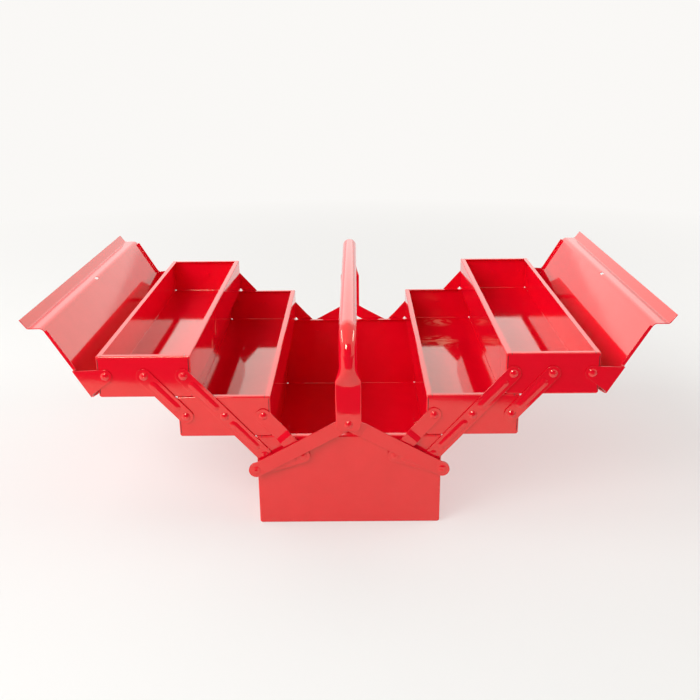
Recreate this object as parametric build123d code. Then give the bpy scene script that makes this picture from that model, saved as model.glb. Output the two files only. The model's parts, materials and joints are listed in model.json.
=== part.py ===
"""Cantilever tool box: a folded steel base, four trays that swing out on riveted arms,
two hinged lids, and a tube handle whose links raise and fold the whole nest.

Millimetres. X runs across the box, Y along it and Z up, and the origin is the middle of
the base's underside. The box is modelled opened out, standing on its base.
"""
import os
from math import atan2, cos, degrees, hypot, radians, tan

from build123d import *

# Folded sheet boxes
BOX_WIDTH = 200.0
BOX_LENGTH = 420.0
BASE_HEIGHT = 106.0
TRAY_HEIGHT = 46.0
TRAY_SET_BACK = 0.5
MIDDLE_GAP = 1.0
SHEET = 0.8
INNER_BEND = 0.8
RIM_WIDTH = 6.0
CORNER_RELIEF = 2.4
REST_GAP = 0.3

# Pivots: every box has its pivots the same drop below its rim
PIVOT_DROP = 22.0
PIVOT_INSET = 8.25
PIVOT_PITCH = 41.25

# Flat bars of the fold
BAR_THICK = 1.2
ARM_WIDTH = 16.0
LINK_WIDTH = 16.0
RIB_WIDTH = 9.0
RIB_HEIGHT = 0.9
RIB_MARGIN = 14.0
CRANK_RIB_START = 11.5
CRANK_RIB_END = 29.0
CRANK_OUT = 51.0
CRANK_DOWN = 16.0
CRANK_SET_START = 27.0
CRANK_SET_RUN = 6.0
LINK_SET_START = 13.0
LINK_SET_RUN = 6.0
HANDLE_PIVOT_HEIGHT = 123.2

# Rivets and the clearances that the bars turn with
RIVET_RADIUS = 1.9
PIN_RADIUS = 2.5
HOLE_PLAY = 0.05
FACE_PLAY = 0.05
SWEEP_GAP = 0.15
COLLAR_RADIUS = 4.5
COLLAR_HEIGHT = 0.4
HEAD_RADIUS = 4.5
HEAD_HEIGHT = 2.0
LOW_HEAD_HEIGHT = 0.9
HEAD_EDGE = 0.3
TAIL_RADIUS = 4.0
TAIL_HEIGHT = 1.2

# Lids, sized as they lie when shut
LID_SWING = 120.5
LID_RISE = 3.85
LID_OVERHANG = 4.2
LID_SKIRT = 8.6
LID_END_INSET = 2.5
LID_EAR_RADIUS = 7.5
LID_EAR_WIDTH = 34.75
LID_FOLD_BEND = 6.0
LIP_OVERLAP = 4.75
LIP_FLAT = 12.1
LIP_RUN = 7.7
LIP_RISE = 13.65
LIP_SLOPE_RISE = 1.3
LIP_BEND = 3.5
LID_EDGE_BEND = 2.0
SLOT_LENGTH = 10.0
SLOT_WIDTH = 3.0

# Tube handle with flattened ends
TUBE_DIAMETER = 19.0
TUBE_WALL = 1.2
TUBE_BEND = 25.0
GRIP_HEIGHT = 99.8
FLAT_WIDTH = 27.4
FLAT_THICK = 2.4
FLAT_BELOW_PIVOT = 8.0
FLAT_ABOVE_PIVOT = 43.8
FLAT_CORNER = 7.0
TAPER_LENGTH = 23.0

# Where things lie, worked out from the sizes above
TRAY_WIDTH = BOX_WIDTH / 2 - MIDDLE_GAP / 2 - TRAY_SET_BACK
LIFT = TRAY_HEIGHT + REST_GAP
LOWER_FLOOR = BASE_HEIGHT + REST_GAP
UPPER_FLOOR = LOWER_FLOOR + LIFT
LOWER_INNER = MIDDLE_GAP / 2 + 2 * PIVOT_PITCH
UPPER_INNER = LOWER_INNER + 2 * PIVOT_PITCH
BASE_PIVOT_Z = BASE_HEIGHT - PIVOT_DROP
LOWER_PIVOT_Z = BASE_PIVOT_Z + LIFT
UPPER_PIVOT_Z = LOWER_PIVOT_Z + LIFT
LOWER_OUTER_PIVOT = LOWER_INNER + TRAY_WIDTH - PIVOT_INSET
UPPER_OUTER_PIVOT = UPPER_INNER + TRAY_WIDTH - PIVOT_INSET

POINT_P = (LOWER_OUTER_PIVOT - 2 * PIVOT_PITCH, BASE_PIVOT_Z)
POINT_B = (POINT_P[0] - PIVOT_PITCH, BASE_PIVOT_Z)
POINT_A = (LOWER_OUTER_PIVOT - 2 * PIVOT_PITCH, LOWER_PIVOT_Z)
POINT_M1 = (LOWER_OUTER_PIVOT - PIVOT_PITCH, LOWER_PIVOT_Z)
POINT_M2 = (LOWER_OUTER_PIVOT, LOWER_PIVOT_Z)
POINT_U1 = (UPPER_OUTER_PIVOT - 2 * PIVOT_PITCH, UPPER_PIVOT_Z)
POINT_U2 = (UPPER_OUTER_PIVOT - PIVOT_PITCH, UPPER_PIVOT_Z)
POINT_L = (UPPER_OUTER_PIVOT, UPPER_PIVOT_Z)
POINT_C = (POINT_B[0] + CRANK_OUT, POINT_B[1] - CRANK_DOWN)
POINT_H = (0.0, HANDLE_PIVOT_HEIGHT)

# Layers of the bars, measured outward from the end walls
ARM_IN = COLLAR_HEIGHT + FACE_PLAY
ARM_OUT = ARM_IN + BAR_THICK
CRANK_IN = ARM_OUT + FACE_PLAY + LOW_HEAD_HEIGHT + SWEEP_GAP
CRANK_FACE = CRANK_IN + BAR_THICK
LINK_IN = CRANK_FACE + FACE_PLAY + LOW_HEAD_HEIGHT + SWEEP_GAP
LINK_FACE = LINK_IN + BAR_THICK
OVER_IN = LINK_FACE + SWEEP_GAP
OVER_FACE = OVER_IN + BAR_THICK
HANDLE_IN = OVER_FACE + SWEEP_GAP
HANDLE_FACE = HANDLE_IN + FLAT_THICK
EAR_IN = COLLAR_HEIGHT + FACE_PLAY
EAR_FACE = EAR_IN + SHEET

# Front end wall seen from outside: local X across, local Y up, local Z outward
FRONT_END = Plane(origin=(0, -BOX_LENGTH / 2, 0), x_dir=(1, 0, 0), z_dir=(0, -1, 0))


def to_left(shape):
    """Mirror a right-hand piece to the left."""
    return mirror(shape, about=Plane.YZ)


def to_rear(shape):
    """Mirror a front piece to the rear end."""
    return mirror(shape, about=Plane.XZ)


def cross_hole(point, radius):
    """Cylinder through both end walls at a pivot."""
    return Pos(point[0], 0, point[1]) * Rot(90, 0, 0) * Cylinder(radius, 2 * BOX_LENGTH)


def folded_box(width, height, middle, floor):
    """Open sheet box with rolled-in rims and a relief hole at each floor corner."""
    base_up = (Align.CENTER, Align.CENTER, Align.MIN)
    outside = Box(width, BOX_LENGTH, height, align=base_up)
    outside = fillet(outside.edges(), INNER_BEND + SHEET)
    inside = Box(width - 2 * SHEET, BOX_LENGTH - 2 * SHEET, height - 2 * SHEET, align=base_up)
    inside = Pos(0, 0, SHEET) * fillet(inside.edges(), INNER_BEND)
    mouth = Box(width - 2 * RIM_WIDTH, BOX_LENGTH - 2 * RIM_WIDTH, 4 * SHEET)
    shell = outside - inside - Pos(0, 0, height) * mouth
    for x in (-width / 2, width / 2):
        for y in (-BOX_LENGTH / 2, BOX_LENGTH / 2):
            shell -= Pos(x, y, 0) * Sphere(CORNER_RELIEF)
    return Pos(middle, 0, floor) * shell


def bar_outline(start, end, width):
    """Round-ended bar between two pivots, in the end wall's plane."""
    run, rise = end[0] - start[0], end[1] - start[1]
    turn = degrees(atan2(rise, run))
    middle = Pos((start[0] + end[0]) / 2, (start[1] + end[1]) / 2)
    return middle * Rot(0, 0, turn) * SlotCenterToCenter(hypot(run, rise), width)


def along(start, end, distance):
    """Point on the line from start towards end."""
    span = hypot(end[0] - start[0], end[1] - start[1])
    share = distance / span
    return (start[0] + share * (end[0] - start[0]), start[1] + share * (end[1] - start[1]))


def flat_bar(start, end, width, level):
    """Flat bar lying at one level off the end wall."""
    return extrude(Pos(0, 0, level) * bar_outline(start, end, width), BAR_THICK)


def set_bar(start, end, width, first, second, set_start, set_run):
    """Bar that steps from one level to another with a joggle."""
    side = bar_side(start, end)
    far = hypot(end[0] - start[0], end[1] - start[1]) + width
    lower = [(-width, first), (set_start, first), (set_start + set_run, second), (far, second)]
    upper = [(x, level + BAR_THICK) for x, level in reversed(lower)]
    ribbon = extrude(side * make_face(Polyline(*lower, *upper, close=True)), width, both=True)
    deep = max(first, second) + 2 * BAR_THICK
    return ribbon & extrude(bar_outline(start, end, width), deep)


def bar_side(start, end):
    """Plane on edge through a bar: local X along it, local Y outward from the end wall."""
    span = hypot(end[0] - start[0], end[1] - start[1])
    run = ((end[0] - start[0]) / span, (end[1] - start[1]) / span, 0)
    return Plane(origin=(start[0], start[1], 0), x_dir=run, z_dir=(run[1], -run[0], 0))


def rib(start, end, level):
    """Half-round stiffening rib pressed out of a bar's face."""
    crown = (RIB_WIDTH**2 / 4 + RIB_HEIGHT**2) / (2 * RIB_HEIGHT)
    span = hypot(end[0] - start[0], end[1] - start[1])
    side = bar_side(start, end)
    outline = RadiusArc((-crown, 0), (0, crown), crown) + Line((0, crown), (span, crown))
    outline += RadiusArc((span, crown), (span + crown, 0), crown)
    outline += Line((span + crown, 0), (-crown, 0))
    roll = revolve(side * make_face(outline), Axis(side.origin, side.x_dir))
    sunk = Pos(0, 0, -BAR_THICK / 2) * bar_outline(start, end, RIB_WIDTH + 4 * BAR_THICK)
    blank = extrude(sunk, BAR_THICK / 2 + 2 * RIB_HEIGHT)
    return Pos(0, 0, level) * (blank & Pos(0, 0, RIB_HEIGHT - crown) * roll)


def rib_between(start, end, level):
    """Rib that stops the same margin short of the rivets at both its ends."""
    return rib(along(start, end, RIB_MARGIN), along(end, start, RIB_MARGIN), level)


def bore(point, radius):
    """Hole through a bar at a pivot."""
    return Pos(point[0], point[1], 0) * Cylinder(radius + HOLE_PLAY, 20 * BAR_THICK)


def rivet(sections, head_base, head_height):
    """Rivet turned about local Z: stepped shank from the tail out, then a domed head."""
    points = [(0, sections[0][1])]
    for radius, low, high in sections:
        points += [(radius, low), (radius, high)]
    points += [(HEAD_RADIUS, head_base), (HEAD_RADIUS, head_base + HEAD_EDGE)]
    top = (0, head_base + head_height)
    crown = TangentArc(top, points[-1], tangent=(1, 0))
    outline = Polyline(*points) + crown + Line(top, points[0])
    return revolve(Plane.XZ * make_face(outline), Axis.Z)


def wall_rivet(collar, grip, head_height):
    """Rivet clamped in an end wall by its collar and tail, for a bar that turns under its head."""
    sections = [
        (TAIL_RADIUS, -SHEET - TAIL_HEIGHT, -SHEET),
        (RIVET_RADIUS, -SHEET, 0),
        (COLLAR_RADIUS, 0, collar),
        (RIVET_RADIUS, collar, grip),
    ]
    return rivet(sections, grip, head_height)


def at_point(point, piece):
    """Place a turned piece at a pivot of the front end wall."""
    return FRONT_END * Pos(point[0], point[1], 0) * piece


def both_ends(pieces):
    """Front pieces and their mirror images at the rear, as one group."""
    return Compound(children=[*pieces, *[to_rear(piece) for piece in pieces]])


def tray(inner, floor, pivot_z):
    """Right-hand tray with its three pivot holes in each end."""
    shell = folded_box(TRAY_WIDTH, TRAY_HEIGHT, inner + TRAY_WIDTH / 2, floor)
    for step in range(3):
        x = inner + TRAY_WIDTH - PIVOT_INSET - step * PIVOT_PITCH
        shell -= cross_hole((x, pivot_z), RIVET_RADIUS + HOLE_PLAY)
    return shell


def base():
    """Deep bottom box with four pivot holes in each end."""
    shell = folded_box(BOX_WIDTH, BASE_HEIGHT, 0, 0)
    for point in (POINT_P, POINT_B):
        for side in (-1, 1):
            shell -= cross_hole((side * point[0], point[1]), RIVET_RADIUS + HOLE_PLAY)
    return shell


def long_arm():
    """Arm from the base past the lower tray to the upper tray, with two ribs."""
    arm = flat_bar(POINT_P, POINT_U1, ARM_WIDTH, ARM_IN)
    arm += rib_between(POINT_P, POINT_M1, ARM_OUT)
    arm += rib_between(POINT_M1, POINT_U1, ARM_OUT)
    for point in (POINT_P, POINT_M1, POINT_U1):
        arm -= bore(point, RIVET_RADIUS)
    return FRONT_END * arm


def short_arm():
    """Arm between the lower and the upper tray."""
    arm = flat_bar(POINT_M2, POINT_U2, ARM_WIDTH, ARM_IN)
    arm += rib_between(POINT_M2, POINT_U2, ARM_OUT)
    for point in (POINT_M2, POINT_U2):
        arm -= bore(point, RIVET_RADIUS)
    return FRONT_END * arm


def crank():
    """Bell crank: one leg carries the lower tray, the other is worked by the link."""
    lever = set_bar(POINT_B, POINT_A, ARM_WIDTH, CRANK_IN, ARM_IN, CRANK_SET_START, CRANK_SET_RUN)
    lever += flat_bar(POINT_B, POINT_C, ARM_WIDTH, CRANK_IN)
    inner, outer = [along(POINT_B, POINT_C, reach) for reach in (CRANK_RIB_START, CRANK_RIB_END)]
    lever += rib(inner, outer, CRANK_FACE)
    for point in (POINT_B, POINT_A):
        lever -= bore(point, RIVET_RADIUS)
    return FRONT_END * lever


def link(inner_level):
    """Flat link from the handle rivet to the crank, set over the other link at the handle."""
    if inner_level == LINK_IN:
        bar = flat_bar(POINT_H, POINT_C, LINK_WIDTH, LINK_IN)
    else:
        bar = set_bar(POINT_H, POINT_C, LINK_WIDTH, inner_level, LINK_IN, LINK_SET_START, LINK_SET_RUN)
    bar -= bore(POINT_H, PIN_RADIUS)
    bar -= bore(POINT_C, RIVET_RADIUS)
    return FRONT_END * bar


def lid():
    """Right-hand lid: panel, outer skirt, bent lip, end flanges and hinge ears, swung open.

    Its lip passes the middle of the shut box, where the other lid's lip lies on it.
    """
    top = PIVOT_DROP + LID_RISE
    outer = PIVOT_INSET + LID_OVERHANG
    step = outer - LID_EAR_WIDTH
    edge = (PIVOT_INSET - TRAY_WIDTH - LIP_OVERLAP, top + LIP_RISE + LIP_SLOPE_RISE)
    crest = (edge[0] + LIP_FLAT, top + LIP_RISE)
    fold = crest[0] + LIP_RUN
    flange_depth = LID_RISE - REST_GAP
    flange_face = BOX_LENGTH / 2 - LID_END_INSET
    ear_face = BOX_LENGTH / 2 + EAR_FACE

    bends = [LID_EDGE_BEND, LID_FOLD_BEND, LIP_BEND]
    section = FilletPolyline((outer, top - LID_SKIRT), (outer, top), (fold, top), crest, edge, radius=bends)
    skin = extrude(Plane.XZ * sheet(section, SHEET), flange_face, both=True)
    section = FilletPolyline((outer, top - LID_SKIRT), (outer, top), (step, top), radius=LID_EDGE_BEND)
    skin += extrude(Plane.XZ * sheet(section, SHEET), ear_face, both=True)

    bend_start = fold + LID_FOLD_BEND * tan(atan2(LIP_RISE, LIP_RUN) / 2)
    flange_corner = (Align.MIN, Align.MIN, Align.MAX)
    flange = Box(step - bend_start, SHEET, flange_depth, align=flange_corner)
    flange = Pos(bend_start, -flange_face, top) * flange
    ear = make_hull((Circle(LID_EAR_RADIUS).edges() + Line((step, top), (outer - LID_EDGE_BEND, top)).edges()))
    ear -= Circle(RIVET_RADIUS + HOLE_PLAY)
    ear = Pos(0, SHEET - ear_face, 0) * extrude(Plane.XZ * ear, SHEET)
    web = Box(SHEET, ear_face - flange_face + SHEET, flange_depth, align=flange_corner)
    web = Pos(step, -ear_face, top) * web
    for piece in (flange, ear, web):
        skin += piece
        skin += to_rear(piece)
    skin -= Pos(fold, 0, top) * Box(SLOT_WIDTH, SLOT_LENGTH, 2 * LID_FOLD_BEND)
    return Pos(POINT_L[0], 0, POINT_L[1]) * Rot(0, LID_SWING, 0) * skin


def sheet(line, depth):
    """Face between a line and its copy set off to the left."""
    return make_face(offset(line, depth, side=Side.LEFT))


def round_section(radius):
    """Circle in four arcs, to match the corners of a flat section in a loft."""
    half = radius * cos(radians(45))
    corners = [(half, half), (-half, half), (-half, -half), (half, -half)]
    middles = [(0, radius), (-radius, 0), (0, -radius), (radius, 0)]
    arcs = [ThreePointArc(corners[i - 1], middles[i - 1], corners[i]) for i in range(4)]
    return make_face(Curve() + arcs)


def handle():
    """Tube bent to a staple, its two ends pressed flat for the rivets."""
    leg = BOX_LENGTH / 2 + HANDLE_IN + FLAT_THICK / 2
    flat_top = HANDLE_PIVOT_HEIGHT + FLAT_ABOVE_PIVOT
    grip = HANDLE_PIVOT_HEIGHT + GRIP_HEIGHT
    tube_start = flat_top + TAPER_LENGTH
    corners = [(0, -leg, tube_start), (0, -leg, grip), (0, leg, grip), (0, leg, tube_start)]
    path = FilletPolyline(*corners, radius=TUBE_BEND)
    ring = Circle(TUBE_DIAMETER / 2) - Circle(TUBE_DIAMETER / 2 - TUBE_WALL)
    staple = sweep(Pos(*corners[0]) * ring, path)

    height = FLAT_BELOW_PIVOT + FLAT_ABOVE_PIVOT
    blade = Rectangle(FLAT_WIDTH, height, align=(Align.CENTER, Align.MIN))
    blade = fillet(blade.vertices().group_by(Axis.Y)[0], FLAT_CORNER)
    blade -= Pos(0, FLAT_BELOW_PIVOT) * Circle(PIN_RADIUS + HOLE_PLAY)
    blade = extrude(Pos(0, flat_top - height, HANDLE_IN) * blade, FLAT_THICK)
    blade = FRONT_END * blade
    neck = loft([
        Pos(0, -leg, flat_top) * Rectangle(FLAT_WIDTH, FLAT_THICK),
        Pos(0, -leg, tube_start) * round_section(TUBE_DIAMETER / 2),
    ])
    for piece in (blade, neck):
        staple += piece
        staple += to_rear(piece)
    return staple


ARM_RIVET = wall_rivet(COLLAR_HEIGHT, ARM_OUT + FACE_PLAY, HEAD_HEIGHT)
LOW_RIVET = wall_rivet(COLLAR_HEIGHT, ARM_OUT + FACE_PLAY, LOW_HEAD_HEIGHT)
CRANK_RIVET = wall_rivet(CRANK_IN - FACE_PLAY, CRANK_FACE + FACE_PLAY, LOW_HEAD_HEIGHT)
LID_RIVET = wall_rivet(COLLAR_HEIGHT, EAR_FACE + FACE_PLAY, HEAD_HEIGHT)
LINK_RIVET = rivet(
    [(COLLAR_RADIUS, CRANK_FACE + FACE_PLAY, LINK_IN), (RIVET_RADIUS, LINK_IN, LINK_FACE)],
    LINK_FACE,
    LOW_HEAD_HEIGHT,
)
PIN_TAIL = LINK_IN - FACE_PLAY
HANDLE_RIVET = rivet(
    [(TAIL_RADIUS, PIN_TAIL - TAIL_HEIGHT, PIN_TAIL), (PIN_RADIUS, PIN_TAIL, HANDLE_FACE + FACE_PLAY)],
    HANDLE_FACE + FACE_PLAY,
    HEAD_HEIGHT,
)

LOWER_RIVETS = [at_point(point, ARM_RIVET) for point in (POINT_A, POINT_M1, POINT_M2)]
UPPER_RIVETS = [at_point(point, ARM_RIVET) for point in (POINT_U1, POINT_U2)]
UPPER_RIVETS.append(at_point(POINT_L, LID_RIVET))
BASE_RIVETS = [at_point(POINT_P, LOW_RIVET), at_point(POINT_B, CRANK_RIVET)]
BASE_RIVETS += [to_left(piece) for piece in BASE_RIVETS]

parts = {
    "base_box": base(),
    "base_rivets": both_ends(BASE_RIVETS),
    "handle": handle(),
    "handle_rivets": both_ends([at_point(POINT_H, HANDLE_RIVET)]),
}
right_pieces = {
    "lower_tray": tray(LOWER_INNER, LOWER_FLOOR, LOWER_PIVOT_Z),
    "lower_rivets": both_ends(LOWER_RIVETS),
    "upper_tray": tray(UPPER_INNER, UPPER_FLOOR, UPPER_PIVOT_Z),
    "upper_rivets": both_ends(UPPER_RIVETS),
    "lid": lid(),
    "link_rivets": both_ends([at_point(POINT_C, LINK_RIVET)]),
}
for name, piece in right_pieces.items():
    parts[name + "_right"] = piece
    parts[name + "_left"] = to_left(piece)

front_bars = {
    "long_arm_right": long_arm(),
    "short_arm_right": short_arm(),
    "crank_right": crank(),
    "link_right": link(OVER_IN),
    "long_arm_left": to_left(long_arm()),
    "short_arm_left": to_left(short_arm()),
    "crank_left": to_left(crank()),
    "link_left": to_left(link(LINK_IN)),
}
for name, bar in front_bars.items():
    parts[name + "_front"] = bar
    parts[name + "_rear"] = to_rear(bar)

os.makedirs("parts", exist_ok=True)
for name, piece in parts.items():
    export_step(piece, f"parts/{name}.step")
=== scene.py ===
import json
import math

import bmesh
import bpy
from bpy.props import FloatProperty, FloatVectorProperty, PointerProperty
from mathutils import Matrix, Vector

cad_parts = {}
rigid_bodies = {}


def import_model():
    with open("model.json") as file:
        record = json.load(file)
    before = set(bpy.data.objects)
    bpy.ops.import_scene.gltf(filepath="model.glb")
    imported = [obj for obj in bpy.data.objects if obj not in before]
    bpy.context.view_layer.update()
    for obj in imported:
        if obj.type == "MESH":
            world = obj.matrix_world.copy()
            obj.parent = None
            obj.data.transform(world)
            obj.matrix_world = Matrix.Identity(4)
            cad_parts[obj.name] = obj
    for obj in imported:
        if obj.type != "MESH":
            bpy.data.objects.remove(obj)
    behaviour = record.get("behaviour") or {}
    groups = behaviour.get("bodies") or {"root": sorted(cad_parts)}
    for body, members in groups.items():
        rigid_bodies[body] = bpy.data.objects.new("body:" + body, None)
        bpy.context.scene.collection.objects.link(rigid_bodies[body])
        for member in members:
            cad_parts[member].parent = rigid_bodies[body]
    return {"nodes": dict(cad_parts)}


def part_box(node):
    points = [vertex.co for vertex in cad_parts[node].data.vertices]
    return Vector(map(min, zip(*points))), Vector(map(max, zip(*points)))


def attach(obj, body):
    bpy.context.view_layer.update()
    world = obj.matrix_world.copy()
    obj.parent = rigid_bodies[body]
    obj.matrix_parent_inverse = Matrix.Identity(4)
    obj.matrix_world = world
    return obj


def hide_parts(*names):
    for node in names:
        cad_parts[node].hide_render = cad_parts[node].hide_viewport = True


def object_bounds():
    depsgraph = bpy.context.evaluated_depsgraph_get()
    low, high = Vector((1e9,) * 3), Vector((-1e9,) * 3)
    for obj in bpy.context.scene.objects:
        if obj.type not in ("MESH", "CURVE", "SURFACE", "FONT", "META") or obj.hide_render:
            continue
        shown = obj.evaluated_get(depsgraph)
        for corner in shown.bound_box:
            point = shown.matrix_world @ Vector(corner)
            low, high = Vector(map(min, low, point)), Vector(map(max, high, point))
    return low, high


for leftover in list(bpy.data.objects):
    bpy.data.objects.remove(leftover)
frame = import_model()
CAD_BOX = [list(corner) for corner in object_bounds()]

bl_info = {
    "name": "Cantilever tool box",
    "version": (1, 0, 0),
    "blender": (4, 5, 0),
    "location": "View3D > Sidebar > Tool box",
    "description": "Dresses the folding steel tool box in gloss red paint and sets its studio",
    "category": "Object",
}

# Pieces of the box, by the names of their nodes in the frame
SIDES = ("left", "right")
ENDS = ("front", "rear")
BASE = "base_box"
BOXES = [BASE] + [f"{level}_tray_{side}" for level in ("lower", "upper") for side in SIDES]
LIDS = [f"lid_{side}" for side in SIDES]
BARS = [
    f"{bar}_{side}_{end}"
    for bar in ("long_arm", "short_arm", "crank", "link")
    for side in SIDES
    for end in ENDS
]
RIVETS = ["base_rivets", "handle_rivets"] + [
    f"{group}_{side}" for group in ("lower_rivets", "upper_rivets", "link_rivets") for side in SIDES
]

# Noise in the finishes, with scales to the metre
SHEET_WAVES = {"Scale": 7.0, "Detail": 2.0}
PAINT_CLOUDS = {"Scale": 38.0, "Detail": 5.0, "Roughness": 0.6}
PAINT_PEEL = {"Scale": 420.0, "Detail": 1.0}
RUB_STREAKS = {"Scale": 1.0, "Detail": 3.0}
DUST_SMEARS = {"Scale": 48.0, "Detail": 4.0, "Distortion": 1.6}
SEAM_PATCHES = {"Scale": 90.0, "Detail": 3.0}
# What draws the streaks out: how close they lie along each axis, and the turn of those axes
STREAK_STRETCH = {"Scale": (30.0, 260.0, 90.0), "Rotation": (0.5, 0.3, 0.7)}
# Noise values between which a change of the finish comes in
DEEP_RANGE = (0.3, 0.75)
SMUDGE_RANGE = (0.35, 0.8)
SCUFF_RANGE = (0.80, 0.85)
BAR_SCUFF_RANGE = (0.78, 0.83)
SMEAR_RANGE = (0.41, 0.58)
WORN_RANGE = (0.4, 0.7)
# Waves on the stiffer pieces, as shares of the sheet's
BAR_WAVES = 0.2
TUBE_WAVES = 0.2
RIVET_WAVES = 0.1
# Gloss of the enamel, dullness of a seam, and samples that round an edge
ENAMEL_IOR = 1.75
SEAM_ROUGHNESS = 0.55
EDGE_SAMPLES = 6

# Dried dust on a tray: middle of each mark and how far it reaches, in metres, and how thick it lies
DUST_MARKS = {
    "lower_tray_right": (
        ((0.123, 0.095, 0.107), 0.032, 1.0),
        ((0.131, 0.185, 0.107), 0.023, 0.6),
    ),
    "upper_tray_left": (
        ((-0.1655, -0.034, 0.172), 0.012, 0.3),
        ((-0.1655, -0.066, 0.162), 0.009, 0.3),
    ),
}
# Share of a mark's reach over which the dust lies at its thickest
DUST_CORE = 0.35

# Corner lap of a tray, in bend radii: below the rim, above the floor, and in from the corner
LAP_BELOW_RIM = 2.0
LAP_ABOVE_FLOOR = 2.5
LAP_INSET = 1.1

# Sections along each stretch of curved metal, and points round a section of the handle
RIM_STEPS = 8
FOOT_STEPS = 8
CORNER_STEPS = 10
FLAT_STEPS = 30
NECK_STEPS = 46
TUBE_BEND_STEPS = 24
SECTION_POINTS = 72
# Half thickness left at the tip of the handle's rounded foot
FOOT_TIP = 1e-6
# Halvings in the search for the width of a neck
WIDTH_HALVINGS = 40

# Softboxes that light the box and stay out of its reflections: turn from the front and rise above
# the floor in degrees, and power as a share of the key lamp's
SOFTBOXES = (
    ("Key softbox", -45, 35, 1.0),
    ("Left softbox", -90, 55, 0.44),
    ("Front softbox", -7, 31, 0.4),
    ("Right softbox", 90, 25, 0.44),
    ("Rear left softbox", -135, 25, 0.36),
    ("Rear right softbox", 135, 25, 0.22),
)
SOFTBOX_SIZE = (1.2, 1.2)
# Small lamp that only reflections show
SPARK_TURN, SPARK_RISE = -20, 30
SPARK_SIZE = (0.45, 0.45)
# Point that the softboxes and the spark lamp are aimed at, and how far they stand from it
LAMP_TARGET = (0, 0, 0.1)
LAMP_REACH = 2.2
# Strip over each side, placed for the right one, and the wide lamp behind
STRIP_PLACE = (1.5, 0.15, 1.0)
STRIP_TARGET = (0, 0, 0.2)
STRIP_SIZE = (1.2, 0.3)
BACK_PLACE = (0.0, 2.4, 1.5)
BACK_TARGET = (0, 0, 0.3)
BACK_SIZE = (3.6, 2.2)
# Bottom of the box, how far below it the floor lies, and the size of the floor
FLOOR_Z = CAD_BOX[0][2]
FLOOR_DROP = 0.0002
FLOOR_RADIUS = 12.0
FLOOR_SIDES = 96
# Distances from the middle between which the floor fades into the backdrop
FADE_RANGE = (0.55, 1.9)
# Corners of the dark cards, and how far they are lifted off the bottom of the box
FLAGS = {
    "Floor flag": [(-1.5, -4, 0), (1.5, -4, 0), (1.5, -0.33, 0), (-1.5, -0.83, 0)],
    "Front flag": [(-4, -4, 0), (4, -4, 0), (4, -4, 3.6), (-4, -4, 3.6)],
}
FLAG_LIFT = 0.0004
# Camera: width of its sensor in millimetres, and nearest distance that it shows in metres
SENSOR_WIDTH = 36.0
CLIP_START = 0.01


class ToolBoxPaint(bpy.types.PropertyGroup):
    """Gloss enamel on every part of the box."""

    colour: FloatVectorProperty(
        name="Paint colour",
        description="Red of the enamel where it lies full",
        subtype="COLOR",
        default=(0.80, 0.002, 0.018),
        min=0.0,
        max=1.0,
    )
    deep_colour: FloatVectorProperty(
        name="Deep colour",
        description="Red where the enamel has run thicker",
        subtype="COLOR",
        default=(0.75, 0.001, 0.015),
        min=0.0,
        max=1.0,
    )
    scuff_colour: FloatVectorProperty(
        name="Scuff colour",
        description="Pale rubbed marks in the enamel",
        subtype="COLOR",
        default=(0.80, 0.22, 0.19),
        min=0.0,
        max=1.0,
    )
    dust_colour: FloatVectorProperty(
        name="Dust colour",
        description="Dried dust that was never wiped off",
        subtype="COLOR",
        default=(0.95, 0.42, 0.28),
        min=0.0,
        max=1.0,
    )
    gloss_tint: FloatVectorProperty(
        name="Gloss tint",
        description="Warm cast of the enamel's reflections",
        subtype="COLOR",
        default=(1.0, 1.0, 0.74),
        min=0.0,
        max=1.0,
    )
    roughness: FloatProperty(
        name="Roughness",
        description="Roughness of clean enamel",
        subtype="FACTOR",
        default=0.05,
        min=0.0,
        max=1.0,
    )
    smudge: FloatProperty(
        name="Smudge",
        description="Roughness added by handling marks",
        subtype="FACTOR",
        default=0.05,
        min=0.0,
        max=1.0,
    )
    orange_peel: FloatProperty(
        name="Orange peel",
        description="Height of the enamel's fine ripple",
        unit="LENGTH",
        default=0.000012,
    )
    waviness: FloatProperty(
        name="Sheet waviness",
        description="Height of the thin sheet's slow waves",
        unit="LENGTH",
        default=0.00025,
    )
    sheet_round: FloatProperty(
        name="Sheet edge round",
        description="Radius that paint gives to a cut edge of the lids",
        unit="LENGTH",
        default=0.0005,
    )
    bar_round: FloatProperty(
        name="Bar edge round",
        description="Radius that tumbling and paint give to a bar's edge",
        unit="LENGTH",
        default=0.0007,
    )


class ToolBoxSeams(bpy.types.PropertyGroup):
    """Dark lines of painted shadow, with pooled paint, where the folded sheet of a box meets
    itself.
    """

    rim_width: FloatProperty(
        name="Rim width",
        description="From a wall's face to the rim's free edge",
        unit="LENGTH",
        default=0.006,
    )
    bend: FloatProperty(
        name="Bend",
        description="Outside radius of a fold",
        unit="LENGTH",
        default=0.0016,
    )
    rim_line: FloatProperty(
        name="Rim line",
        description="Width of the line between two rims",
        unit="LENGTH",
        default=0.0006,
    )
    corner_line: FloatProperty(
        name="Corner line",
        description="Width of the line beside a corner",
        unit="LENGTH",
        default=0.0008,
    )
    proud: FloatProperty(
        name="Proud",
        description="How far a line stands off the sheet",
        unit="LENGTH",
        default=0.00002,
    )
    sunk: FloatProperty(
        name="Sunk",
        description="How far a line reaches into the sheet",
        unit="LENGTH",
        default=0.0003,
    )
    # A seam's dark line is painted shadow of its gap, with pooled paint
    colour: FloatVectorProperty(
        name="Seam colour",
        description="Shadow and pooled paint in a seam",
        subtype="COLOR",
        default=(0.10, 0.001, 0.003),
        min=0.0,
        max=1.0,
    )
    # Lighter patches in a seam's painted shadow
    worn_colour: FloatVectorProperty(
        name="Worn colour",
        description="Thinner paint along a seam",
        subtype="COLOR",
        default=(0.22, 0.003, 0.006),
        min=0.0,
        max=1.0,
    )


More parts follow.
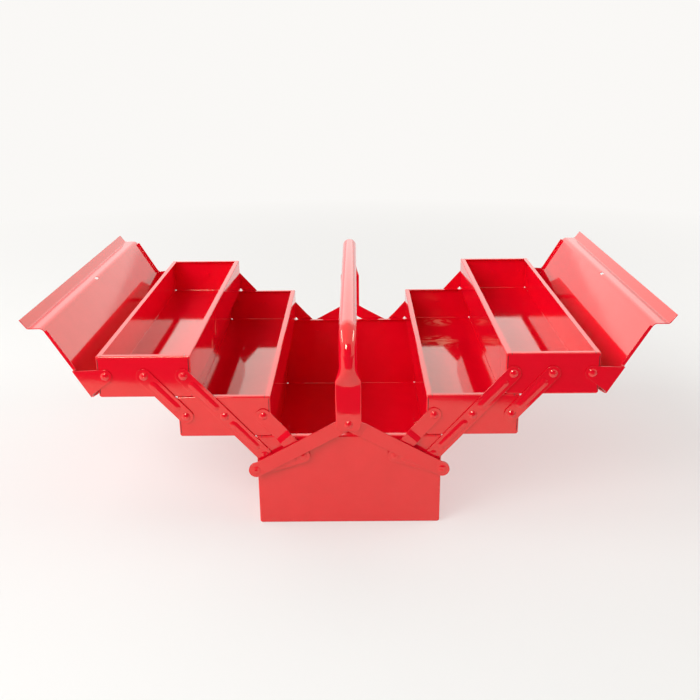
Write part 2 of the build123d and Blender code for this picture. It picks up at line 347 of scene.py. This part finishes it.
class ToolBoxHandle(bpy.types.PropertyGroup):
    """Tube handle, whose ends are pressed flat."""

    tube_radius: FloatProperty(
        name="Tube radius",
        description="Outside of the tube",
        unit="LENGTH",
        default=0.0095,
    )
    bend_radius: FloatProperty(
        name="Bend radius",
        description="Middle of the tube at its bends",
        unit="LENGTH",
        default=0.025,
    )
    flat_width: FloatProperty(
        name="Flat width",
        description="Across the pressed ends",
        unit="LENGTH",
        default=0.0274,
    )
    flat_thick: FloatProperty(
        name="Flat thickness",
        description="Through the pressed ends",
        unit="LENGTH",
        default=0.0024,
    )
    flat_length: FloatProperty(
        name="Flat length",
        description="Height of a pressed end",
        unit="LENGTH",
        default=0.0518,
    )
    neck_length: FloatProperty(
        name="Neck length",
        description="From the flat to the full tube",
        unit="LENGTH",
        default=0.023,
    )
    corner_radius: FloatProperty(
        name="Corner radius",
        description="Bottom corners of a flat",
        unit="LENGTH",
        default=0.007,
    )
    rivet_height: FloatProperty(
        name="Rivet height",
        description="From a flat's bottom to its rivet",
        unit="LENGTH",
        default=0.008,
    )
    seat_radius: FloatProperty(
        name="Seat radius",
        description="Level round the rivet",
        unit="LENGTH",
        default=0.0115,
    )
    lean: FloatProperty(
        name="Flat lean",
        description="Slope of a flat above its rivet",
        unit="ROTATION",
        default=math.radians(2.0),
    )


class ToolBoxStage(bpy.types.PropertyGroup):
    """Camera, floor and lights."""

    camera_place: FloatVectorProperty(
        name="Camera place",
        description="Where the camera stands",
        subtype="TRANSLATION",
        unit="LENGTH",
        default=(0.00924, -1.0697, 0.5082),
    )
    camera_pitch: FloatProperty(
        name="Camera pitch",
        description="Angle below level",
        unit="ROTATION",
        default=math.radians(19.497),
    )
    camera_yaw: FloatProperty(
        name="Camera yaw",
        description="Turn to the right",
        unit="ROTATION",
        default=math.radians(-0.4617),
    )
    camera_roll: FloatProperty(
        name="Camera roll",
        description="Tilt of the picture",
        unit="ROTATION",
        default=math.radians(-0.6317),
    )
    lens: FloatProperty(
        name="Lens",
        description="Focal length in millimetres",
        unit="CAMERA",
        default=45.07,
    )
    floor_glow: FloatProperty(
        name="Floor glow",
        description="Share of the floor that is lit from below",
        subtype="FACTOR",
        default=0.5,
        min=0.0,
        max=1.0,
    )
    floor_colour: FloatVectorProperty(
        name="Floor colour",
        description="Pale studio sweep",
        subtype="COLOR",
        default=(0.84, 0.835, 0.815),
        min=0.0,
        max=1.0,
    )
    flag_colour: FloatVectorProperty(
        name="Flag colour",
        description="Dark cards seen in reflections",
        subtype="COLOR",
        default=(0.05, 0.045, 0.045),
        min=0.0,
        max=1.0,
    )
    key_watts: FloatProperty(
        name="Key softbox",
        description="Power of the key lamp",
        unit="POWER",
        default=28.0,
    )
    back_watts: FloatProperty(
        name="Back softbox",
        description="Power of the back lamp",
        unit="POWER",
        default=16.0,
    )
    strip_watts: FloatProperty(
        name="Side strips",
        description="Power of each side lamp",
        unit="POWER",
        default=8.0,
    )
    spark_watts: FloatProperty(
        name="Spark lamp",
        description="Power of the small lamp that only gloss shows",
        unit="POWER",
        default=14.0,
    )
    surround: FloatProperty(
        name="Surround",
        description="Strength of the even light",
        default=0.06,
        min=0.0,
    )
    backdrop_colour: FloatVectorProperty(
        name="Backdrop colour",
        description="Light behind the floor",
        subtype="COLOR",
        default=(0.955, 0.94, 0.92),
        min=0.0,
        max=1.0,
    )


def add_object(name, data):
    """New object in the scene for a mesh, a lamp or a camera."""
    added = bpy.data.objects.new(name, data)
    bpy.context.scene.collection.objects.link(added)
    return added


def skin(body, rings):
    """Closed skin over rings of points, from the first ring to the last."""
    loops = [[body.verts.new(point) for point in ring] for ring in rings]
    for first, second in zip(loops, loops[1:]):
        for i in range(len(first)):
            body.faces.new((first[i - 1], first[i], second[i], second[i - 1]))
    body.faces.new(loops[0])
    body.faces.new(list(reversed(loops[-1])))


def finished_mesh(name, body, material):
    """Mesh of a closed body, with its faces turned outward and one material."""
    bmesh.ops.recalc_face_normals(body, faces=body.faces)
    mesh = bpy.data.meshes.new(name)
    body.to_mesh(mesh)
    body.free()
    mesh.materials.append(material)
    return mesh


def add_node(tree, kind, settings=None, **inputs):
    """New shader node, with its sockets set or linked by name, or by number as i0, i1 and so on."""
    node = tree.nodes.new(kind)
    for name, value in (settings or {}).items():
        setattr(node, name, value)
    for name, value in inputs.items():
        numbered = name[0] == "i" and name[1:].isdigit()
        socket = node.inputs[int(name[1:]) if numbered else name.replace("_", " ")]
        if isinstance(value, bpy.types.NodeSocket):
            tree.links.new(value, socket)
        else:
            socket.default_value = value
    return node


def new_material(name):
    """Empty node material with its output node."""
    material = bpy.data.materials.new(name)
    material.use_nodes = True
    material.node_tree.nodes.clear()
    output = material.node_tree.nodes.new("ShaderNodeOutputMaterial")
    return material, material.node_tree, output


def part_place(tree):
    """Place on the part, which stays put on a piece as it moves."""
    return add_node(tree, "ShaderNodeTexCoord").outputs["Object"]


def noise(tree, place, pattern):
    """Noise from 0 to 1 at a place."""
    return add_node(tree, "ShaderNodeTexNoise", Vector=place, **pattern).outputs["Fac"]


def ramp(tree, value, start, end, first=0.0, last=1.0):
    """Straight change from first, where a value is at start, to last, where it is at end."""
    return add_node(
        tree,
        "ShaderNodeMapRange",
        Value=value,
        From_Min=start,
        From_Max=end,
        To_Min=first,
        To_Max=last,
    ).outputs[0]


def combine(tree, operation, first, second):
    """Number that one operation makes from two others."""
    return add_node(
        tree, "ShaderNodeMath", {"operation": operation}, i0=first, i1=second
    ).outputs[0]


def mix_colours(tree, share, first, second):
    """Colour on the way from a first to a second."""
    return add_node(
        tree, "ShaderNodeMix", {"data_type": "RGBA"}, Factor=share, i6=first, i7=second
    ).outputs[2]


def mix_shaders(tree, share, first, second):
    """Shader on the way from a first to a second."""
    return add_node(tree, "ShaderNodeMixShader", i0=share, i1=first, i2=second).outputs[0]


def glow(tree, colour):
    """Light of a colour as it is written."""
    return add_node(tree, "ShaderNodeEmission", Color=(*colour, 1), Strength=1.0).outputs[0]


def dust_share(tree, place, marks):
    """How thick dust lies, from 0 to 1, in smears about the middles of its marks."""
    smear = noise(tree, place, DUST_SMEARS)
    thickest = None
    for middle, reach, thick in marks:
        away = add_node(
            tree, "ShaderNodeVectorMath", {"operation": "DISTANCE"}, i0=place, i1=middle
        ).outputs["Value"]
        mark = ramp(tree, away, reach * DUST_CORE, reach, thick, 0.0)
        thickest = mark if thickest is None else combine(tree, "MAXIMUM", thickest, mark)
    return combine(tree, "MULTIPLY", thickest, ramp(tree, smear, *SMEAR_RANGE))


def enamel(name, paint, waviness, scuff_range=SCUFF_RANGE, edge=0.0, dust=()):
    """Gloss red enamel on steel, with slow waves, orange peel, handling smudges and rubbed marks.

    An edge radius makes the paint look drawn round cut edges, and dust gives marks that lie on it.
    """
    material, tree, output = new_material(name)
    place = part_place(tree)
    cloud = noise(tree, place, PAINT_CLOUDS)
    streak_place = add_node(tree, "ShaderNodeMapping", Vector=place, **STREAK_STRETCH).outputs[0]
    rubbed = ramp(tree, noise(tree, streak_place, RUB_STREAKS), *scuff_range)

    deep = ramp(tree, cloud, *DEEP_RANGE)
    red = mix_colours(tree, deep, (*paint.colour, 1), (*paint.deep_colour, 1))
    red = mix_colours(tree, rubbed, red, (*paint.scuff_colour, 1))
    if dust:
        red = mix_colours(tree, dust_share(tree, place, dust), red, (*paint.dust_colour, 1))
    smudged = ramp(tree, cloud, *SMUDGE_RANGE, paint.roughness, paint.roughness + paint.smudge)

    slow = noise(tree, place, SHEET_WAVES)
    waves = add_node(tree, "ShaderNodeBump", Height=slow, Distance=waviness, Strength=1.0)
    if edge:
        rounded = add_node(tree, "ShaderNodeBevel", {"samples": EDGE_SAMPLES}, Radius=edge)
        tree.links.new(rounded.outputs[0], waves.inputs["Normal"])
    ripple = add_node(
        tree,
        "ShaderNodeBump",
        Height=noise(tree, place, PAINT_PEEL),
        Distance=paint.orange_peel,
        Strength=1.0,
        Normal=waves.outputs[0],
    )
    shader = add_node(
        tree,
        "ShaderNodeBsdfPrincipled",
        Base_Color=red,
        Roughness=smudged,
        IOR=ENAMEL_IOR,
        Specular_Tint=(*paint.gloss_tint, 1),
        Normal=ripple.outputs[0],
    )
    tree.links.new(shader.outputs[0], output.inputs["Surface"])
    return material


def dress(node, material):
    """Give a node's object one material."""
    materials = frame["nodes"][node].data.materials
    materials.clear()
    materials.append(material)


class TOOLBOX_OT_boxes(bpy.types.Operator):
    """Paint the base, the four trays and the two lids"""

    bl_idname = "toolbox.boxes"
    bl_label = "Boxes and lids"

    def execute(self, context):
        paint = context.scene.toolbox_paint
        shell = enamel("Sheet enamel", paint, paint.waviness)
        for node in BOXES:
            if node in DUST_MARKS:
                marks = DUST_MARKS[node]
                dress(node, enamel(f"Dusty enamel {node}", paint, paint.waviness, dust=marks))
            else:
                dress(node, shell)
        cover = enamel("Lid enamel", paint, paint.waviness, edge=paint.sheet_round)
        for node in LIDS:
            dress(node, cover)
        return {"FINISHED"}


class TOOLBOX_OT_seams(bpy.types.Operator):
    """Mark with painted shadow where the rims of each box butt, and where the walls of the trays
    lap at the corners
    """

    bl_idname = "toolbox.seams"
    bl_label = "Rim and corner seams"

    def execute(self, context):
        seams = context.scene.toolbox_seams
        material = self.seam_shadow_paint(seams)
        for node in BOXES:
            low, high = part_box(node)
            body = bmesh.new()
            for side, across in ((-1, low[0]), (1, high[0])):
                for end, along in ((-1, low[1]), (1, high[1])):
                    butt = self.rim_path(seams, end, along, high[2])
                    rim_edge = across - side * seams.rim_width
                    self.line(body, rim_edge, seams.rim_line, butt, seams)
                    if node != BASE:
                        lap = self.lap_path(seams, end, along, low[2], high[2])
                        lap_edge = across - side * LAP_INSET * seams.bend
                        self.line(body, lap_edge, seams.corner_line, lap, seams)
            # Each box's seam lines are dark strips of painted shadow
            name = f"Seam_shadows_{node}"
            lines = add_object(name, finished_mesh(name, body, material))
            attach(lines, "base" if node == BASE else node)
        return {"FINISHED"}

    def seam_shadow_paint(self, seams):
        """Dull dark red in the seams: painted shadow of their gaps, with pooled paint."""
        material, tree, output = new_material("Seam painted shadow")
        worn = ramp(tree, noise(tree, part_place(tree), SEAM_PATCHES), *WORN_RANGE)
        # Dark seam red is the painted shadow, with lighter patches at random
        red = mix_colours(tree, worn, (*seams.colour, 1), (*seams.worn_colour, 1))
        shader = add_node(
            tree, "ShaderNodeBsdfPrincipled", Base_Color=red, Roughness=SEAM_ROUGHNESS
        )
        tree.links.new(shader.outputs[0], output.inputs["Surface"])
        return material

    def rim_path(self, seams, end, along, top):
        """Places along Y and Z, each with the way that the sheet faces, from a rim's free edge
        over the bend.
        """
        level = along - end * seams.bend
        path = [(along - end * seams.rim_width, top, 0.0, 1.0)]
        for step in range(RIM_STEPS + 1):
            turn = math.pi / 2 * step / RIM_STEPS
            out, up = end * math.sin(turn), math.cos(turn)
            path.append((level + seams.bend * out, top - seams.bend + seams.bend * up, out, up))
        return path

    def lap_path(self, seams, end, along, bottom, top):
        """Places down a corner of an end wall, from below the rim to above the floor's bend."""
        heights = (top - LAP_BELOW_RIM * seams.bend, bottom + LAP_ABOVE_FLOOR * seams.bend)
        return [(along, height, end, 0.0) for height in heights]

    def line(self, body, across, width, path, seams):
        """Closed dark ribbon along a path in the sheet, carrying a seam's painted shadow."""
        left, right = across - 0.5 * width, across + 0.5 * width
        section = (
            (left, seams.proud),
            (right, seams.proud),
            (right, -seams.sunk),
            (left, -seams.sunk),
        )
        skin(
            body,
            [
                [(x, along + depth * out, height + depth * up) for x, depth in section]
                for along, height, out, up in path
            ],
        )


class TOOLBOX_OT_bars(bpy.types.Operator):
    """Paint the arms, cranks and links"""

    bl_idname = "toolbox.bars"
    bl_label = "Arms, cranks and links"

    def execute(self, context):
        paint = context.scene.toolbox_paint
        waviness = paint.waviness * BAR_WAVES
        bar_paint = enamel("Bar enamel", paint, waviness, BAR_SCUFF_RANGE, edge=paint.bar_round)
        for node in BARS:
            dress(node, bar_paint)
        return {"FINISHED"}


def neck_half_width(crown, radius, widest):
    """Half width of a pressed tube whose crown is that high, with the tube's own girth."""
    low, high = radius, 2 * radius
    for _ in range(WIDTH_HALVINGS):
        half = (low + high) / 2
        # Girth of an ellipse, by a close formula
        root = math.sqrt((3 * half + crown) * (half + 3 * crown))
        girth = math.pi * (3 * (half + crown) - root)
        low, high = (half, high) if girth < 2 * math.pi * radius else (low, half)
    return min(low, widest)


def half_thickness(across, half_width, plate, crown):
    """Height of a pressed section above its middle: a plate with round edges, or a crown where
    that is higher.
    """
    past = max(0.0, abs(across) - (half_width - plate))
    level = math.sqrt(max(0.0, plate * plate - past * past))
    return max(level, crown * math.sqrt(max(0.0, 1 - (across / half_width) ** 2)))


class TOOLBOX_OT_handle(bpy.types.Operator):
    """Bend the tube handle, press its ends flat and paint it"""

    bl_idname = "toolbox.handle"
    bl_label = "Handle"

    def execute(self, context):
        paint, sizes = context.scene.toolbox_paint, context.scene.toolbox_handle
        low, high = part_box("handle")
        # Middle of a leg, bottom of its foot and middle of the grip
        self.leg = high[1] - sizes.tube_radius
        self.foot = low[2]
        self.grip = high[2] - sizes.tube_radius
        rings = self.end_rings(sizes) + self.bend_rings(sizes)
        rings += [[(x, -y, z) for x, y, z in ring] for ring in reversed(rings)]
        body = bmesh.new()
        skin(body, rings)
        for face in body.faces:
            face.smooth = True
        tube_paint = enamel("Tube enamel", paint, paint.waviness * TUBE_WAVES)
        tube = add_object("Handle_tube", finished_mesh("Handle tube", body, tube_paint))
        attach(tube, "handle")
        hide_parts("handle")
        return {"FINISHED"}

    def end_rings(self, sizes):
        """Rings of the front end from its foot up to the full tube: rounded foot, flat, neck."""
        plate, radius = sizes.flat_thick / 2, sizes.tube_radius
        widest, corner = sizes.flat_width / 2, sizes.corner_radius
        rings = []
        for rise in self.end_rises(sizes):
            half, thick, crown = widest, plate, 0.0
            if rise < plate:
                thick = math.sqrt(max(0.0, plate**2 - (plate - rise) ** 2)) + FOOT_TIP
            if rise < corner:
                half = widest - corner + math.sqrt(corner**2 - (corner - rise) ** 2)
                # The tip stays wide enough for its round edges
                half = max(half, widest - corner + 2 * plate)
            if rise > sizes.flat_length:
                share = (rise - sizes.flat_length) / sizes.neck_length
                crown = plate + (radius - plate) * math.sin(share * math.pi / 2)
                half = neck_half_width(crown, radius, widest)
            ring = []
            for x, side in self.section(half):
                out = self.leg - self.bow(x, rise, sizes)
                y = -out - side * half_thickness(x, half, thick, crown)
                ring.append((x, y, self.foot + rise))
            rings.append(ring)
        return rings

    def end_rises(self, sizes):
        """Heights above the foot at which the front end has a ring."""
        plate, corner = sizes.flat_thick / 2, sizes.corner_radius
        flat, neck = sizes.flat_length, sizes.neck_length
        foot_turns = [math.pi / 2 * i / FOOT_STEPS for i in range(FOOT_STEPS + 1)]
        rises = [plate * (1 - math.cos(turn)) for turn in foot_turns]
        for start, length, steps in (
            (plate, corner - plate, CORNER_STEPS),
            (corner, flat - corner, FLAT_STEPS),
            (flat, neck, NECK_STEPS),
        ):
            rises += [start + length * i / steps for i in range(1, steps + 1)]
        return rises

    def section(self, half):
        """Places across a section, with the face that each is on."""
        turns = [2 * math.pi * (i + 0.5) / SECTION_POINTS for i in range(SECTION_POINTS)]
        return [(half * math.cos(turn), 1 if turn < math.pi else -1) for turn in turns]

    def bow(self, x, rise, sizes):
        """How far a flat leans inward away from its riveted seat, taken back along the neck."""
        if rise < sizes.rivet_height:
            return 0.0
        away = max(0.0, math.hypot(x, rise - sizes.rivet_height) - sizes.seat_radius)
        share = min(1.0, max(0.0, (rise - sizes.flat_length) / sizes.neck_length))
        return math.tan(sizes.lean) * away * (1 - share * share * (3 - 2 * share))

    def bend_rings(self, sizes):
        """Rings of the front bend up to the level grip."""
        radius, bend = sizes.tube_radius, sizes.bend_radius
        rings = []
        for step in range(1, TUBE_BEND_STEPS + 1):
            turn = math.pi / 2 * step / TUBE_BEND_STEPS
            out, up = math.cos(turn), math.sin(turn)
            y, z = -(self.leg - bend) - bend * out, self.grip - bend + bend * up
            ring = []
            for x, side in self.section(radius):
                high = side * math.sqrt(max(0.0, radius * radius - x * x))
                ring.append((x, y - high * out, z + high * up))
            rings.append(ring)
        return rings


class TOOLBOX_OT_rivets(bpy.types.Operator):
    """Paint the rivets"""

    bl_idname = "toolbox.rivets"
    bl_label = "Rivets"

    def execute(self, context):
        paint = context.scene.toolbox_paint
        rivet_paint = enamel("Rivet enamel", paint, paint.waviness * RIVET_WAVES)
        for node in RIVETS:
            dress(node, rivet_paint)
        return {"FINISHED"}


def add_light(name, place, target, size, watts):
    """Soft white rectangular lamp aimed at a point."""
    lamp = bpy.data.lights.new(name, "AREA")
    lamp.shape = "RECTANGLE"
    lamp.size, lamp.size_y = size
    lamp.energy = watts
    holder = add_object(name, lamp)
    holder.location = place
    aim = Vector(target) - Vector(place)
    holder.rotation_euler = aim.to_track_quat("-Z", "Y").to_euler()
    return holder


class TOOLBOX_OT_stage(bpy.types.Operator):
    """Set up the camera, the pale floor and the soft lights"""

    bl_idname = "toolbox.stage"
    bl_label = "Stage"

    def execute(self, context):
        stage = context.scene.toolbox_stage
        self.camera(context, stage)
        self.floor(stage)
        self.world(context, stage)
        self.lamps(stage)
        for name, corners in FLAGS.items():
            self.flag(name, corners, stage)
        context.scene.view_settings.view_transform = "Standard"
        return {"FINISHED"}

    def camera(self, context, stage):
        """Camera where the photograph was taken from, by its pitch, yaw and roll."""
        pitch, yaw, roll = stage.camera_pitch, stage.camera_yaw, stage.camera_roll
        level = math.cos(pitch)
        ahead = Vector((math.sin(yaw) * level, math.cos(yaw) * level, -math.sin(pitch)))
        right = Vector((math.cos(yaw), -math.sin(yaw), 0))
        up = right.cross(ahead)
        turn, lean = math.cos(roll), math.sin(roll)
        axes = Matrix((turn * right + lean * up, turn * up - lean * right, -ahead)).transposed()
        view = bpy.data.cameras.new("Camera")
        view.lens = stage.lens
        view.sensor_width = SENSOR_WIDTH
        view.clip_start = CLIP_START
        holder = add_object("Camera", view)
        holder.matrix_world = Matrix.Translation(stage.camera_place) @ axes.to_4x4()
        context.scene.camera = holder

    def floor(self, stage):
        """Wide disc that fades into the backdrop away from the box."""
        mesh = bpy.data.meshes.new("Floor")
        disc = bmesh.new()
        bmesh.ops.create_circle(disc, cap_ends=True, segments=FLOOR_SIDES, radius=FLOOR_RADIUS)
        disc.to_mesh(mesh)
        disc.free()
        ground = add_object("Floor", mesh)
        ground.location.z = FLOOR_Z - FLOOR_DROP
        material, tree, output = new_material("Floor")
        reach = add_node(
            tree, "ShaderNodeVectorMath", {"operation": "LENGTH"}, i0=part_place(tree)
        ).outputs["Value"]
        matt = add_node(tree, "ShaderNodeBsdfDiffuse", Color=(*stage.floor_colour, 1)).outputs[0]
        near = mix_shaders(tree, stage.floor_glow, matt, glow(tree, stage.floor_colour))
        far = glow(tree, stage.backdrop_colour)
        faded = mix_shaders(tree, ramp(tree, reach, *FADE_RANGE), near, far)
        tree.links.new(faded, output.inputs["Surface"])
        mesh.materials.append(material)

    def world(self, context, stage):
        """Backdrop at full strength to the camera and in reflections, and a weak even light."""
        world = bpy.data.worlds.new("Studio")
        world.use_nodes = True
        tree = world.node_tree
        tree.nodes.clear()
        output = tree.nodes.new("ShaderNodeOutputWorld")
        colour = (*stage.backdrop_colour, 1)
        light = add_node(tree, "ShaderNodeBackground", Color=colour, Strength=stage.surround)
        seen = add_node(tree, "ShaderNodeBackground", Color=colour, Strength=1.0)
        rays = add_node(tree, "ShaderNodeLightPath").outputs
        direct = combine(tree, "MAXIMUM", rays["Is Camera Ray"], rays["Is Glossy Ray"])
        direct = combine(tree, "MAXIMUM", direct, rays["Is Transmission Ray"])
        mixed = mix_shaders(tree, direct, light.outputs[0], seen.outputs[0])
        tree.links.new(mixed, output.inputs["Surface"])
        context.scene.world = world

    def lamps(self, stage):
        """Softboxes round the box, the spark lamp, a strip over each side and a lamp behind."""
        for name, turn, rise, share in SOFTBOXES:
            place = self.around(turn, rise)
            softbox = add_light(name, place, LAMP_TARGET, SOFTBOX_SIZE, stage.key_watts * share)
            softbox.visible_glossy = False
        place = self.around(SPARK_TURN, SPARK_RISE)
        spark = add_light("Spark lamp", place, LAMP_TARGET, SPARK_SIZE, stage.spark_watts)
        spark.visible_diffuse = False
        across, along, height = STRIP_PLACE
        for side in (-1, 1):
            place = (across * side, along, height)
            add_light("Side strip", place, STRIP_TARGET, STRIP_SIZE, stage.strip_watts)
        add_light("Back softbox", BACK_PLACE, BACK_TARGET, BACK_SIZE, stage.back_watts)

    def around(self, turn, rise):
        """Place of a lamp at a turn from the front and a rise above the floor, in degrees."""
        turn, rise = math.radians(turn), math.radians(rise)
        level = LAMP_REACH * math.cos(rise)
        height = LAMP_TARGET[2] + LAMP_REACH * math.sin(rise)
        return (level * math.sin(turn), -level * math.cos(turn), height)

    def flag(self, name, corners, stage):
        """Dark studio card that only reflections see."""
        mesh = bpy.data.meshes.new(name)
        mesh.from_pydata(corners, [], [(0, 1, 2, 3)])
        card = add_object(name, mesh)
        card.location.z = FLOOR_Z + FLAG_LIFT
        for ray in ("camera", "diffuse", "transmission", "volume_scatter", "shadow"):
            setattr(card, f"visible_{ray}", False)
        material, tree, output = new_material(name)
        tree.links.new(glow(tree, stage.flag_colour), output.inputs["Surface"])
        mesh.materials.append(material)


OPERATORS = (
    TOOLBOX_OT_boxes,
    TOOLBOX_OT_seams,
    TOOLBOX_OT_bars,
    TOOLBOX_OT_handle,
    TOOLBOX_OT_rivets,
    TOOLBOX_OT_stage,
)


class TOOLBOX_PT_panel(bpy.types.Panel):
    """Steps that dress the tool box"""

    bl_idname = "TOOLBOX_PT_panel"
    bl_label = "Tool box"
    bl_space_type = "VIEW_3D"
    bl_region_type = "UI"
    bl_category = "Tool box"

    def draw(self, context):
        for step in OPERATORS:
            self.layout.operator(step.bl_idname)


CLASSES = (ToolBoxPaint, ToolBoxSeams, ToolBoxHandle, ToolBoxStage, *OPERATORS, TOOLBOX_PT_panel)


def register():
    for each in CLASSES:
        bpy.utils.register_class(each)
    bpy.types.Scene.toolbox_paint = PointerProperty(type=ToolBoxPaint)
    bpy.types.Scene.toolbox_seams = PointerProperty(type=ToolBoxSeams)
    bpy.types.Scene.toolbox_handle = PointerProperty(type=ToolBoxHandle)
    bpy.types.Scene.toolbox_stage = PointerProperty(type=ToolBoxStage)


def unregister():
    del bpy.types.Scene.toolbox_stage
    del bpy.types.Scene.toolbox_handle
    del bpy.types.Scene.toolbox_seams
    del bpy.types.Scene.toolbox_paint
    for each in reversed(CLASSES):
        bpy.utils.unregister_class(each)


def main():
    register()
    bpy.ops.toolbox.boxes()
    bpy.ops.toolbox.seams()
    bpy.ops.toolbox.bars()
    bpy.ops.toolbox.handle()
    bpy.ops.toolbox.rivets()
    bpy.ops.toolbox.stage()


if __name__ == "__main__":
    main()
